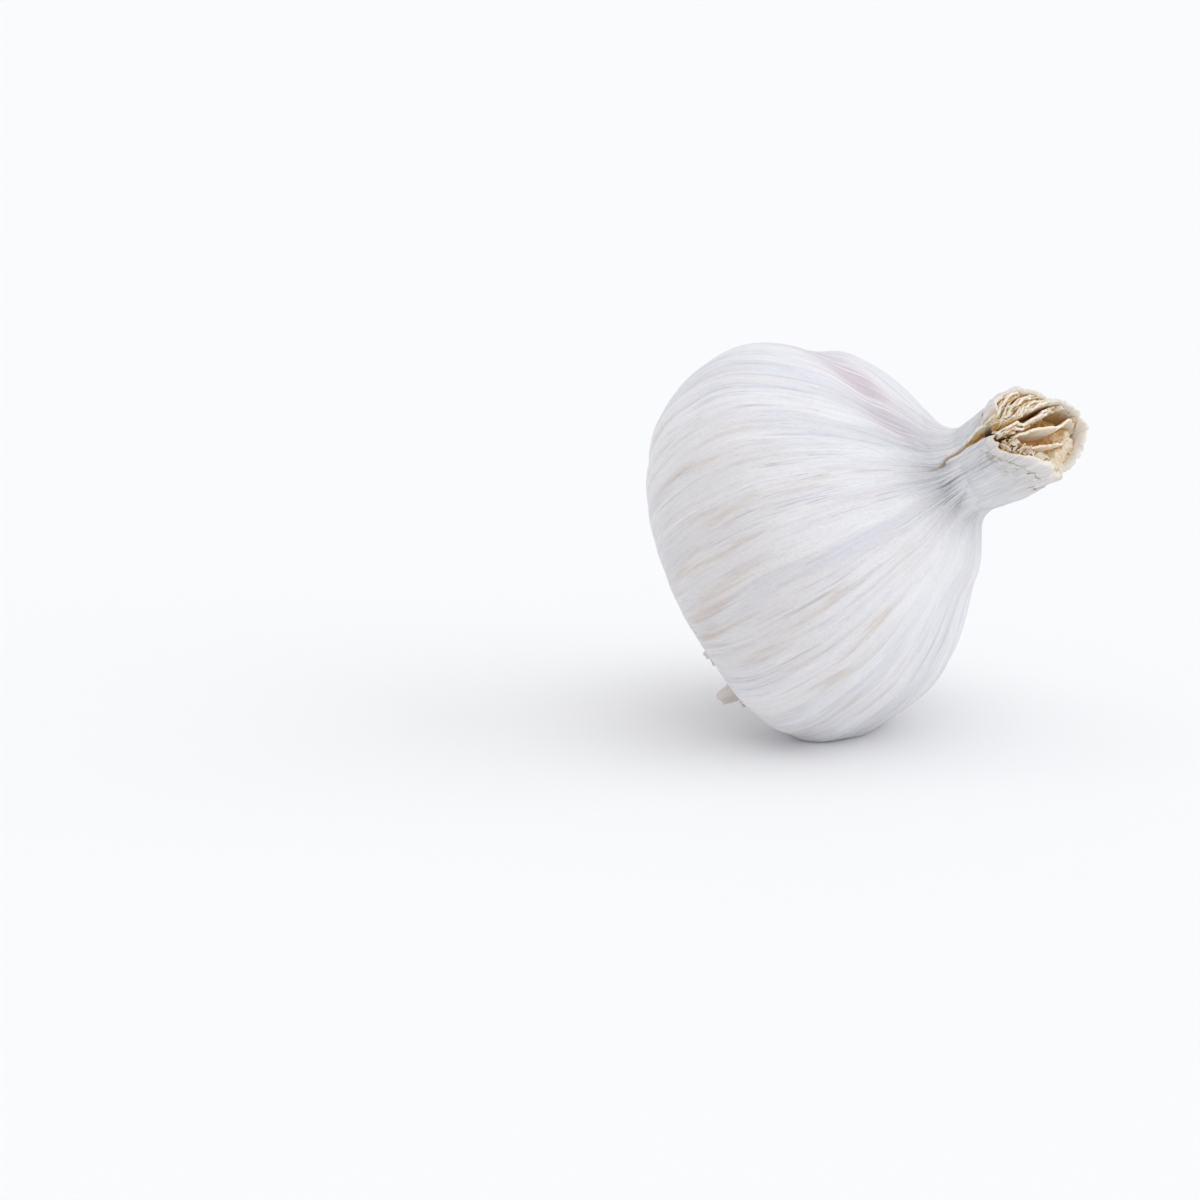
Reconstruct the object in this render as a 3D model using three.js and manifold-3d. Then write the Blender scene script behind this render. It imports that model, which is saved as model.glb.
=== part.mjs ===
// A whole garlic bulb, lying tilted on its side with the cut neck raised. Millimetres, +Z up.
// The origin is the middle of the small flat spot that it rests on, and +X is the way the neck leans.
// Each piece is shaped upright, as it grew, round its own axis: height 0 is the plane of the root end.
// The group is then laid down: angle 0 is the side that ends up underneath, and 180 degrees is the top.
import * as THREE from 'three';
import Module from 'manifold-3d';
import { mergeVertices } from 'three/addons/utils/BufferGeometryUtils.js';

const wasm = await Module();
wasm.setup();

// Driving dimensions: millimetres, degrees.
const bulbDiameter = 61;
const bodyHeight = 42; // from the root end to the top of the shoulder
const neckRimHeight = 57.5; // mean height of the cut edge of the neck
const neckRadius = 6.8;
const rimRadius = 8.4;
const sheathWall = 1.3; // outer neck sheath, several dry skins together
const hollowDepth = 9; // from the cut edge down to where the inner sheaths are rooted
const axisRise = 30.6; // the bulb's axis above the surface it lies on
const fullerTopSide = 0.145; // share by which the upper cloves stand out further than the lower ones
const fullerWithHeight = 0.25; // how much more so at the shoulder than at the root end
const pieceGap = 0.3;
const slitDepth = 2.1; // how far the outer sheath falls away under its own edge at the slit
const slitOverlap = 0.4;
const rimTear = 0.35; // how raggedly the cut edge of the neck is torn
const lipTear = 0.55; // and the edge of the skin round the root hollow

const bulbSegments = 100;
const bulbRings = 46;

const rad = THREE.MathUtils.degToRad;
const bump = (x, middle, width) => Math.exp(-(((x - middle) / width) ** 2));
const smooth = THREE.MathUtils.smoothstep;
const around = (angle, middle) => THREE.MathUtils.euclideanModulo(angle - middle + 180, 360) - 180;

// A repeatable random draw from 0 to 1.
function dice(seed) {
  let state = seed;
  return () => {
    state = (state * 16807) % 2147483647;
    return state / 2147483647;
  };
}

// A ragged line round the bulb, from -1 to 1, as dry skin tears.
function ragged(angle, seed) {
  const a = rad(angle);
  const coarse = 0.45 * Math.sin(5 * a + seed) + 0.3 * Math.sin(11 * a + 2.3 * seed);
  return coarse + 0.25 * Math.sin(19 * a + 4.1 * seed);
}

// The valleys between the cloves, where the skin sinks in: where round the bulb, how deep and how wide.
const cloveValleys = [
  { angle: 32, depth: 2.1, width: 11 },
  { angle: 74, depth: 1.7, width: 12 },
  { angle: 113, depth: 1.9, width: 11 },
  { angle: 206, depth: 0.5, width: 12 },
  { angle: 244, depth: 0.6, width: 10 },
  { angle: 286, depth: 0.8, width: 12 },
  { angle: 327, depth: 0.9, width: 12 },
];
// One valley winds round the shoulder by so many degrees on its way to the neck.
const windingValley = { angle: 157, turn: 64, depth: 1.3, width: 10 };
// Places that press out further than those round them, or stand back: where, how high up and how far.
const fullPlaces = [
  { angle: 147, height: 35.5, out: 2.05, width: 20, tall: 8 },
  { angle: 46, height: 31, out: 2.3, width: 19, tall: 10 },
  { angle: 5, height: 28, out: 1.6, width: 22, tall: 8 },
  { angle: 350, height: 39.5, out: 2.2, width: 35, tall: 3 },
  { angle: 282, height: 38.5, out: 1.3, width: 34, tall: 2.6 },
  { angle: 245, height: 12, out: -0.5, width: 25, tall: 9 },
  { angle: 277, height: 5, out: -1.4, width: 24, tall: 6 },
];
const skinRibs = 24;
const ribRelief = 0.16;
const neckPleats = 17;
const pleatRelief = 0.4;

// The torn edge of the neck, higher on its far side and pressed flat underneath: angle, radius and height.
const neckRim = [
  [0, 6.5, 57],
  [35, 6.5, 59.8],
  [50, 6.9, 60.8],
  [70, 8.2, 61.6],
  [88, 8.6, 61.6],
  [115, 6.9, 61],
  [145, 6.2, 59.2],
  [165, 7.7, 58.4],
  [190, 8.9, 55.8],
  [207, 9, 56.8],
  [229, 9.3, 53.2],
  [236, 8.9, 54],
  [257, 8.3, 53.4],
  [278, 8, 56.8],
  [296, 7.9, 58.6],
  [320, 7.2, 57.6],
  [340, 6.7, 57],
  [360, 6.5, 57],
];
// The slit where the outer sheath overlaps itself: height, and the angles of its lower and upper lips.
const slitLips = [
  [40, 246, 246],
  [44, 237, 234.5],
  [48, 233, 227],
  [52, 236, 223],
  [57.5, 240, 214],
];

// A row between two rows of a table, by its first column.
function between(rows, at) {
  const x = THREE.MathUtils.clamp(at, rows[0][0], rows.at(-1)[0]);
  const next = Math.max(1, rows.findIndex(([start]) => start >= x));
  const share = (x - rows[next - 1][0]) / (rows[next][0] - rows[next - 1][0]);
  return rows[next].map((value, i) => THREE.MathUtils.lerp(rows[next - 1][i], value, share));
}

// Half the bulb's outline as radius and height: from the root hollow over the body, up the neck and into it.
const R = bulbDiameter / 2;
const outline = new THREE.SplineCurve(
  [
    [0, 4.2],
    [0.2 * R, 3.9],
    [0.3 * R, 2.6],
    [0.38 * R, 0.5],
    [0.5 * R, 0.5],
    [0.73 * R, 2.1],
    [0.91 * R, 5.6],
    [0.985 * R, 11],
    [0.99 * R, 17.5],
    [0.95 * R, 23],
    [0.84 * R, 28.5],
    [0.69 * R, 33.6],
    [0.5 * R, 38],
    [0.34 * R, bodyHeight - 1],
    [neckRadius + 0.8, bodyHeight + 1.2],
    [neckRadius, bodyHeight + 5],
    [neckRadius + 0.5, bodyHeight + 9],
    [rimRadius - 0.6, neckRimHeight - 3.2],
    [rimRadius, neckRimHeight],
    [rimRadius - sheathWall, neckRimHeight + 0.1],
    [rimRadius - sheathWall - 0.6, neckRimHeight - hollowDepth * 0.5],
    [rimRadius - sheathWall - 1.4, neckRimHeight - hollowDepth],
    [0, neckRimHeight - hollowDepth],
  ].map(([r, h]) => new THREE.Vector2(r, h)),
);

// The neck leans a little to the side that is seen, and stands back from the underside.
function neckDrift(height) {
  const up = Math.max(0, height - bodyHeight) / (neckRimHeight - bodyHeight);
  const back = 0.5 * smooth(height, bodyHeight - 2, bodyHeight + 4);
  return new THREE.Vector2(-0.5 * up - back, -1.5 * up * up);
}

// Where along the outline the cut edge of the neck and the edge of the root hollow come, from 0 to 1.
const outlineSpans = outline.points.length - 1;
const rimAt = 18 / outlineSpans;
const lipAt = 3.5 / outlineSpans;

// One point of the skin: t runs along the outline from 0 to 1, angle is in degrees.
function skinPoint(t, angle) {
  const { x: r0, y: h0 } = outline.getPoint(t);
  const a = rad(angle);
  const outside = t < rimAt + 0.02;
  const neck = smooth(h0, bodyHeight - 1, bodyHeight + 5);
  const shoulder = outside ? bump(h0, bodyHeight + 0.5, 4.5) : 0;
  const body = t < lipAt ? 0 : smooth(h0, -2, 7) * (1 - smooth(h0, bodyHeight - 9, bodyHeight + 2));
  const fuller = (fullerTopSide + fullerWithHeight * (h0 / bodyHeight - 0.5)) * (1 - neck);
  let r = r0 * (1 - fuller * Math.cos(a));
  for (const valley of cloveValleys) {
    r -= valley.depth * bump(around(angle, valley.angle), 0, valley.width) * (body + 0.35 * shoulder);
  }
  const { turn, depth, width } = windingValley;
  const windingTo = windingValley.angle + turn * Math.max(0, (h0 - 24) / (bodyHeight - 24)) ** 2;
  const winds = t < lipAt ? 0 : smooth(h0, -2, 7) * (1 - smooth(h0, bodyHeight - 5, bodyHeight + 1));
  r -= depth * bump(around(angle, windingTo), 0, width) * winds;
  for (const place of fullPlaces) {
    const up = t > lipAt ? bump(h0, place.height, place.tall) * (1 - neck) : 0;
    r += place.out * bump(around(angle, place.angle), 0, place.width) * up;
  }
  r += ribRelief * Math.cos(skinRibs * a + 2 * Math.sin(3 * a)) * body;
  const pleated = outside ? Math.max(bump(h0, bodyHeight + 1.4, 3), 0.4 * neck) : 0;
  r += pleatRelief * Math.cos(neckPleats * a + 1.5 * Math.sin(2 * a)) * pleated;
  // The outer sheath falls away under its upper lip, inside and out, and stands up again at its lower lip.
  const [, lowerLip, upperLip] = between(slitLips, h0);
  const across = (angle - upperLip) / Math.max(lowerLip - upperLip, 0.5);
  const gape = smooth(h0, 40.5, 44) * smooth(r0, 2, 5) * (t < rimAt + 0.09 ? 1 : 0);
  const inSlit = smooth(across, -0.12, 0.1) * (1 - smooth(across, 0.93, 1.04)) * gape;
  r -= slitDepth * (0.4 + 0.6 * smooth(across, 0.2, 0.98)) * (0.35 + 0.65 * smooth(h0, 42, 52)) * inSlit;
  r += slitOverlap * (bump(across, 1.12, 0.14) + bump(across, -0.3, 0.3)) * gape * smooth(h0, 42, 50);
  // Towards the cut edge the neck takes the rim's own shape.
  const [, edgeRadius, edgeHeight] = between(neckRim, angle);
  r += (edgeRadius - rimRadius) * smooth(h0, bodyHeight + 5, neckRimHeight) * smooth(r0, 2, 5);
  const rim = smooth(t, rimAt - 0.1, rimAt) * (1 - smooth(t, rimAt + 0.05, rimAt + 0.12));
  let h = h0 + rim * (edgeHeight - neckRimHeight + rimTear * ragged(angle, 1));
  h -= bump(t, lipAt, 0.035) * lipTear * ragged(angle, 7);
  const drift = neckDrift(h);
  return new THREE.Vector3(r * Math.cos(a) + drift.x, r * Math.sin(a) + drift.y, h);
}

// A closed surface from one pole to the other, from rings of points.
function closedSkin(rings, segments, pointAt) {
  const points = [pointAt(0, 0)];
  for (let i = 1; i < rings; i++) {
    for (let j = 0; j < segments; j++) points.push(pointAt(i / rings, (360 * j) / segments));
  }
  points.push(pointAt(1, 0));
  const index = [];
  const last = points.length - 1;
  const at = (i, j) => 1 + (i - 1) * segments + (j % segments);
  for (let j = 0; j < segments; j++) {
    index.push(0, at(1, j + 1), at(1, j));
    for (let i = 1; i < rings - 1; i++) {
      index.push(at(i, j), at(i, j + 1), at(i + 1, j + 1), at(i, j), at(i + 1, j + 1), at(i + 1, j));
    }
    index.push(at(rings - 1, j), at(rings - 1, j + 1), last);
  }
  return new THREE.BufferGeometry().setFromPoints(points).setIndex(index);
}

// three.js geometry to a solid and back.
function solid(geometry) {
  const bare = geometry.clone();
  bare.deleteAttribute('normal');
  bare.deleteAttribute('uv');
  const merged = mergeVertices(bare, 1e-4);
  return new wasm.Manifold(
    new wasm.Mesh({
      numProp: 3,
      vertProperties: new Float32Array(merged.attributes.position.array),
      triVerts: new Uint32Array(merged.index.array),
    }),
  );
}

function geometryOf(made) {
  const { vertProperties, triVerts } = made.getMesh();
  return new THREE.BufferGeometry()
    .setAttribute('position', new THREE.BufferAttribute(new Float32Array(vertProperties), 3))
    .setIndex(new THREE.BufferAttribute(new Uint32Array(triVerts), 1));
}

// A torn or curled strip of dry skin, evenly thick: middle(u, v) is its mid surface, u and v from 0 to 1.
function strip(across, along, thickness, middle) {
  const step = 1e-3;
  const sides = [1, -1].map((side) => {
    const points = [];
    for (let i = 0; i <= across; i++) {
      for (let j = 0; j <= along; j++) {
        const [u, v] = [i / across, j / along];
        const du = middle(u + step, v).sub(middle(u - step, v));
        const dv = middle(u, v + step).sub(middle(u, v - step));
        const normal = du.cross(dv).normalize();
        points.push(middle(u, v).addScaledVector(normal, (side * thickness) / 2));
      }
    }
    return points;
  });
  const index = [];
  const at = (side, i, j) => side * (across + 1) * (along + 1) + i * (along + 1) + j;
  const quad = (a, b, c, d) => index.push(a, b, c, a, c, d);
  for (let i = 0; i < across; i++) {
    for (let j = 0; j < along; j++) {
      quad(at(0, i, j), at(0, i + 1, j), at(0, i + 1, j + 1), at(0, i, j + 1));
      quad(at(1, i, j), at(1, i, j + 1), at(1, i + 1, j + 1), at(1, i + 1, j));
    }
    quad(at(0, i + 1, 0), at(0, i, 0), at(1, i, 0), at(1, i + 1, 0));
    quad(at(0, i, along), at(0, i + 1, along), at(1, i + 1, along), at(1, i, along));
  }
  for (let j = 0; j < along; j++) {
    quad(at(0, 0, j), at(0, 0, j + 1), at(1, 0, j + 1), at(1, 0, j));
    quad(at(0, across, j + 1), at(0, across, j), at(1, across, j), at(1, across, j + 1));
  }
  return new THREE.BufferGeometry().setFromPoints([...sides[0], ...sides[1]]).setIndex(index);
}

// The skin's torn ends stand off round the root end as small stiff flaps.
const skinFlaps = [
  { angle: 319, radius: 19, width: 36, reach: 5, lean: 2 },
  { angle: 288, radius: 17.2, width: 14, reach: 2.4, lean: 12 },
  { angle: 228, radius: 15.2, width: 14, reach: 1.8, lean: 50 },
  { angle: 96, radius: 15.2, width: 26, reach: 3.6, lean: 15 },
  { angle: 160, radius: 15.2, width: 18, reach: 2.6, lean: 25 },
];
const flapThickness = 0.8;

function skinFlap({ angle, radius, width, reach, lean }) {
  const root = 1.8 + 0.25 * (radius - 15.2); // sunk into the skin, which stands higher further out
  return strip(6, 4, flapThickness, (u, v) => {
    const a = rad(angle + (u - 0.5) * width * (1 - 0.35 * v));
    const ragEnd = 1 + 0.18 * Math.sin(9 * u + angle);
    const out = reach * v * ragEnd;
    const fuller = 1 - fullerTopSide * Math.cos(a);
    const r = radius * fuller + out * Math.sin(rad(lean)) + 0.3 * Math.sin(7 * u);
    return new THREE.Vector3(r * Math.cos(a), r * Math.sin(a), root - out * Math.cos(rad(lean)));
  });
}

function bulbSkin() {
  let made = solid(closedSkin(bulbRings, bulbSegments, skinPoint));
  for (const flap of skinFlaps) made = made.add(solid(skinFlap(flap)));
  return made;
}

// The dry inner leaf sheaths of the neck, each a curled strip rooted in a plug of pith: its foot, and the
// points that its torn top runs through, as x, y and height.
const innerSheaths = [
  {
    foot: 49.5, // the tongue, folded across the middle of the neck
    top: [
      [-3, -3.6, 55.6],
      [-3.3, -1.8, 58.2],
      [-3.2, 1.2, 59.4],
      [-2.7, 3.6, 60.2],
    ],
  },
  {
    foot: 49.5, // the spoon, which opens towards the underside
    top: [
      [-1.2, -5.2, 55.6],
      [-2.4, -4.6, 56.6],
      [-2.1, -3.4, 57.9],
      [-1.3, -1.8, 59],
      [0, 0.6, 60],
      [0.7, 3.8, 60.8],
      [1.9, 5.7, 61],
      [3.2, 4.2, 60],
    ],
  },
  {
    foot: 49.5, // a fold under the upper side of the outer sheath
    top: [
      [-5.6, -3.4, 56.2],
      [-5.7, -1.6, 57.8],
      [-5, 0.4, 58.8],
      [-3.9, 1.6, 59.4],
    ],
  },
  {
    foot: 49.5, // a short one along the side that is seen
    top: [
      [-1.6, -6, 54.4],
      [0.2, -5.8, 55.8],
      [1.6, -5.2, 56.8],
      [3.2, -4, 57.6],
    ],
  },
];
const innerSheathThickness = 0.75;
const drawnTogether = 0.72; // how much narrower the sheaths are at the foot than at the top
const plugHeight = 2;
const plugRadius = 5;
// The pith stands on the plug: where its top is, and its half width there.
const pithTop = new THREE.Vector3(2.2, 1, 59);
const pithRadius = 2.3;

function curledSheath({ foot, top }) {
  const edge = new THREE.CatmullRomCurve3(top.map(([x, y, h]) => new THREE.Vector3(x, y, h)));
  return strip(3 * (top.length - 1), 4, innerSheathThickness, (u, v) => {
    const torn = edge.getPoint(THREE.MathUtils.clamp(u, 0, 1));
    const h = foot + v * (torn.z + 0.3 * Math.sin(17 * u + foot) - foot);
    const spread = drawnTogether + (1 - drawnTogether) * v;
    const drift = neckDrift(h);
    return new THREE.Vector3(spread * torn.x + drift.x, spread * torn.y + drift.y, h);
  });
}

function neckCore() {
  const floor = neckRimHeight - hollowDepth + pieceGap;
  const drift = neckDrift(floor + plugHeight / 2);
  const plug = new THREE.CylinderGeometry(plugRadius, plugRadius - 0.3, plugHeight, 36, 1);
  plug.rotateX(Math.PI / 2);
  plug.translate(drift.x, drift.y, floor + plugHeight / 2);
  const pithDrift = neckDrift(pithTop.z);
  const pithHeight = pithTop.z - floor;
  const pith = new THREE.SphereGeometry(1, 18, 12).rotateX(Math.PI / 2);
  pith.scale(pithRadius, pithRadius, pithHeight / 2);
  pith.translate(pithTop.x + pithDrift.x, pithTop.y + pithDrift.y, floor + pithHeight / 2);
  let made = solid(plug).add(solid(pith));
  for (const sheath of innerSheaths) made = made.add(solid(curledSheath(sheath)));
  return made;
}

// The root plate: a corky disc in the hollow of the root end, with the stubs of the trimmed roots.
const plateRadius = 0.235 * R;
const plateTop = 3.4;
const rootStubs = 34;
const goldenAngle = 137.508;

function rootPlate() {
  const half = [
    [0, plateTop - 2.4],
    [0.72, plateTop - 2.2],
    [0.93, plateTop - 1.5],
    [0.9, plateTop - 0.5],
    [0.6, plateTop],
    [0, plateTop],
  ].map(([share, h]) => new THREE.Vector2(share * plateRadius, h));
  const disc = new THREE.LatheGeometry(half, 36).rotateX(Math.PI / 2);
  let made = solid(disc);
  const roll = dice(11);
  for (let i = 0; i < rootStubs; i++) {
    const angle = i * goldenAngle;
    const r = plateRadius * 0.8 * Math.sqrt((i + 0.5) / rootStubs);
    const reach = 1.2 + 1.6 * roll();
    const stub = new THREE.CylinderGeometry(0.42, 0.5, reach + 1.4, 5, 1);
    stub.translate(0, (reach + 1.4) / 2, 0).rotateX(-Math.PI / 2);
    stub.rotateX(rad(18 * (roll() - 0.5))).rotateY(rad(14 + 16 * (r / plateRadius)));
    stub.rotateZ(rad(angle + 180));
    stub.translate(r * Math.cos(rad(angle)), r * Math.sin(rad(angle)), plateTop - 0.9);
    made = made.add(solid(stub));
  }
  return made;
}

// Laid down: the axis leans towards +X, and the round underside is taken off flat where it meets the surface.
const rootEndAt = new THREE.Vector3(-18.9, 0.6, 17.2);
const laid = new THREE.Group();
laid.rotation.y = rad(90 - axisRise);
laid.position.copy(rootEndAt);
laid.updateMatrixWorld(true);

function flattened(made) {
  const below = new THREE.BoxGeometry(120, 120, 20).translate(0, 0, -10);
  return made.subtract(solid(below.applyMatrix4(laid.matrixWorld.clone().invert())));
}

function piece(name, made, color, roughness) {
  const finish = new THREE.MeshStandardMaterial({ color, roughness, metalness: 0 });
  const mesh = new THREE.Mesh(geometryOf(made), finish);
  mesh.name = name;
  laid.add(mesh);
}

piece('bulb', flattened(bulbSkin()), 0xe9e6ea, 0.5);
piece('neck_sheaths', neckCore(), 0xd9bf8a, 0.8);
piece('root_plate', rootPlate(), 0xa98c63, 0.9);

const garlic = new THREE.Group();
garlic.add(laid);

export default garlic;
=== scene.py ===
import math

import bpy
import numpy as np
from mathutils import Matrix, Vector
from mathutils.bvhtree import BVHTree


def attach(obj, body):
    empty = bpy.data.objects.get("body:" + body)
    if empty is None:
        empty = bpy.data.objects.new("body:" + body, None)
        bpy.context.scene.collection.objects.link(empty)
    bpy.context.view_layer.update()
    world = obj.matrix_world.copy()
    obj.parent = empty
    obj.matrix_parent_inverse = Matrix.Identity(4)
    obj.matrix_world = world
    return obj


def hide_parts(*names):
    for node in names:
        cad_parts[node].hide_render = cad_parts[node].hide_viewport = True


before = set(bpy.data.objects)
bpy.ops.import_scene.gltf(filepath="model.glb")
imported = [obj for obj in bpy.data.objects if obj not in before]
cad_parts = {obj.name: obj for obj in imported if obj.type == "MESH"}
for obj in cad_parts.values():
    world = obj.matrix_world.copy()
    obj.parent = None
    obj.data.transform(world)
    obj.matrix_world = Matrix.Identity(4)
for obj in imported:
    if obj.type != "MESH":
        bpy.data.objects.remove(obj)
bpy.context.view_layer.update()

# Papery skin. Several dry leaf bases, one over another, shrunk tight over the cloves and pleated together at
# the neck. It is one closed skin, a fine sphere whose points a formula moves onto the bulb's surface,
# because a grown form with lobes, pleats and a torn rim can't be had from edit-mode operators.
BULB_DIAMETER = 61.0  # every size here is in millimetres and degrees
BODY_HEIGHT = 42.0
NECK_RIM_HEIGHT = 57.5
NECK_RADIUS = 6.8
RIM_RADIUS = 8.4
SHEATH_WALL = 1.0
HOLLOW_DEPTH = 9.0
AXIS_RISE = math.radians(30.6)
ROOT_END_AT = (-18.9, 0.6, 17.2)
FULLER_TOP_SIDE = 0.145
FULLER_WITH_HEIGHT = 0.25
MM = 0.001
SKIN_SEGMENTS = 512
SKIN_RINGS = 192

R = BULB_DIAMETER / 2
OUTLINE = np.array([
    (0, 4.2), (0.2 * R, 3.9), (0.3 * R, 2.6), (0.38 * R, 0.5), (0.5 * R, 0.5), (0.73 * R, 2.1),
    (0.91 * R, 5.6), (0.985 * R, 11), (0.99 * R, 17.5), (0.95 * R, 23), (0.84 * R, 28.5),
    (0.69 * R, 33.6), (0.5 * R, 38), (0.34 * R, BODY_HEIGHT - 1),
    (NECK_RADIUS + 0.8, BODY_HEIGHT + 1.2), (NECK_RADIUS, BODY_HEIGHT + 5),
    (NECK_RADIUS + 0.5, BODY_HEIGHT + 9), (RIM_RADIUS - 0.6, NECK_RIM_HEIGHT - 3.2),
    (RIM_RADIUS, NECK_RIM_HEIGHT), (RIM_RADIUS - SHEATH_WALL, NECK_RIM_HEIGHT + 0.1),
    (RIM_RADIUS - SHEATH_WALL - 0.6, NECK_RIM_HEIGHT - HOLLOW_DEPTH * 0.5),
    (RIM_RADIUS - SHEATH_WALL - 1.4, NECK_RIM_HEIGHT - HOLLOW_DEPTH),
    (0, NECK_RIM_HEIGHT - HOLLOW_DEPTH),
])
SPANS = len(OUTLINE) - 1
LIP_AT, SHOULDER_AT, RIM_AT = 3.5 / SPANS, 12 / SPANS, 18 / SPANS

# Angle round the bulb, depth and width of each valley; 0 degrees is the underside, 270 the side that is seen.
CLOVE_VALLEYS = [
    (32, 2.1, 11), (74, 1.7, 12), (113, 1.9, 11),
    (206, 0.5, 12), (244, 0.6, 10), (286, 0.8, 12), (327, 0.9, 12),
]
# One valley winds round the shoulder on its way to the neck: angle, turn, depth and width.
WINDING_VALLEY = (157, 64, 1.3, 10)
# Angle, height, how far out, width and height of the places that press out most, and of two that stand back.
FULL_PLACES = [
    (147, 35.5, 2.05, 20, 8), (46, 31, 2.3, 19, 10), (5, 28, 1.6, 22, 8), (350, 39.5, 2.2, 35, 3),
    (282, 38.5, 1.3, 34, 2.6),
    (245, 12, -0.5, 25, 9), (277, 5, -1.4, 24, 6),
]
# The torn edge of the neck: angle, radius and height.
NECK_RIM = np.array([
    (0, 6.5, 57), (20, 6.4, 58.6), (35, 6.5, 59.8), (50, 6.9, 60.8), (70, 8.2, 61.6), (88, 8.6, 61.6),
    (100, 7.9, 61.6), (115, 6.9, 61), (130, 6.3, 60.3), (145, 6.2, 59.2), (156, 6.9, 59), (165, 7.7, 58.4),
    (178, 8.5, 56.6), (190, 8.8, 55.2), (200, 8.9, 55), (207, 8.9, 54.6), (215, 8.9, 54), (222, 9, 53.2),
    (229, 9.1, 52), (236, 8.9, 52.8), (246, 8.5, 52.4), (257, 8.3, 52.8), (266, 8.2, 54), (278, 8, 56.2),
    (287, 7.9, 57.4), (296, 7.9, 58.4), (306, 7.8, 57.8), (320, 7.2, 57.6), (340, 6.7, 57), (360, 6.5, 57),
])
# Height and angle along the free edge of the outer sheath on the near side of the neck.
SHEATH_EDGE = np.array([
    (41, 297), (43.9, 289), (45.7, 278), (47.2, 273), (49.5, 270), (51.3, 275), (53.3, 288),
])
# The slit in the outer sheath: height, and the angles of its lower and upper lips.
SLIT_LIPS = np.array([(40, 246, 246), (44, 237, 234.5), (48, 233, 227), (52, 236, 223), (57.5, 240, 214)])

# How many of each kind of low relief there are round the bulb, and how deep they are.
RIBS, RIB_DEPTH = 24, 0.14
CREASES, CREASE_DEPTH = 46, 0.09
FINE_CREASES, FINE_CREASE_DEPTH = 108, 0.05
BROAD_PLEATS, BROAD_PLEAT_DEPTH = 17, 0.3
PLEATS, PLEAT_DEPTH = 44, 0.4
FINE_PLEATS, FINE_PLEAT_DEPTH = 92, 0.6
SWELLING = 0.22
NECK_SWELLING = 0.28
UNDERSIDE_DENT = 0.9
DIMPLE_DEPTH, CRUMPLE_DEPTH = 0.55, 0.36
OUTER_SHEATH_STEP = 0.6
SLIT_FALL_AT_UPPER_LIP, SLIT_FALL_MORE_AT_LOWER, GAP_FALL = 0.8, 1.3, 0.9
LOWER_LIP_RISE, UPPER_LIP_RISE = 0.35, 0.4


def bump(x, middle, width):
    return np.exp(-(((x - middle) / width) ** 2))


def smooth(x, low, high):
    share = np.clip((x - low) / (high - low), 0, 1)
    return share * share * (3 - 2 * share)


def around(angle, middle):
    return (angle - middle + 180) % 360 - 180


def through(points, share):
    """The smooth line through a row of points, at shares of the way along it."""
    spans = len(points) - 1
    at = np.clip(share, 0, 1) * spans
    i = np.minimum(at.astype(int), spans - 1)
    f = (at - i)[:, None]
    before, here = points[np.maximum(i - 1, 0)], points[i]
    there, after = points[i + 1], points[np.minimum(i + 2, spans)]
    start, end = (there - before) / 2, (after - here) / 2
    line = here + start * f + (3 * (there - here) - 2 * start - end) * f**2
    return line + (2 * (here - there) + start + end) * f**3


def length_along(share):
    """Millimetres of skin from the root hollow to a share of the outline."""
    steps = np.linspace(0, 1, 800)
    radius, height = through(OUTLINE, steps).T
    lengths = np.concatenate([[0], np.cumsum(np.hypot(np.diff(radius), np.diff(height)))])
    return np.interp(share, steps, lengths)


def torn(share, teeth, seed):
    """A jagged line from -1 to 1, as dry skin tears, that ends where it began."""
    draw = np.random.default_rng(seed)
    at = np.concatenate([[0], np.sort(draw.uniform(0.01, 0.99, teeth)), [1]])
    high = draw.uniform(-1, 1, teeth + 2)
    high[-1] = high[0]
    return np.interp(share % 1, at, high)


def patchy(angle, height, cycles, length, seed):
    """Slow uneven swelling from about -1 to 1 that closes on itself round the bulb."""
    draw = np.random.default_rng(seed)
    total = np.zeros_like(angle)
    for _ in range(9):
        turns = draw.integers(1, cycles + 1)
        wave = np.cos(turns * np.radians(angle) + draw.uniform(0, 2 * math.pi))
        total += wave * np.cos(height / (length * draw.uniform(0.6, 1.8)) + draw.uniform(0, 2 * math.pi))
    return total / 3


def folds(angle, height, count, wander, seed):
    """Rounded ridges with sharp creases between them, unevenly spaced, from about -0.6 to 0.4."""
    draw = np.random.default_rng(seed)
    a = np.radians(angle)
    spread = a.copy()
    for turns in (2, 3, 5, 8, 13, 21):
        spread += 0.5 / turns * np.sin(turns * a + draw.uniform(0, 2 * math.pi)) * wander
    spread += 0.02 * wander * np.sin(height / 7 + draw.uniform(0, 6) + 3 * np.sin(a))
    return np.abs(np.sin(count / 2 * spread)) - 0.6


def neck_drift(height):
    up = np.maximum(0, height - BODY_HEIGHT) / (NECK_RIM_HEIGHT - BODY_HEIGHT)
    return -0.5 * up - 0.5 * smooth(height, 40, 46), -1.5 * up * up


def laid(x, y, height):
    """From the bulb's own axis to where it lies, in metres."""
    east = ROOT_END_AT[0] + x * math.sin(AXIS_RISE) + height * math.cos(AXIS_RISE)
    north = ROOT_END_AT[1] + y
    up = ROOT_END_AT[2] - x * math.cos(AXIS_RISE) + height * math.sin(AXIS_RISE)
    return np.column_stack([east, north, up]) * MM


def neck_rim(angle):
    """Radius and height of the torn edge of the outer sheath."""
    turn = (angle % 360) / 360
    radius, height = [np.interp(angle % 360, NECK_RIM[:, 0], NECK_RIM[:, i]) for i in (1, 2)]
    radius = radius + 0.3 * torn(turn, 34, 3)
    return radius, height + 0.5 * torn(turn, 46, 5) + 0.3 * torn(turn, 120, 6)


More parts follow.
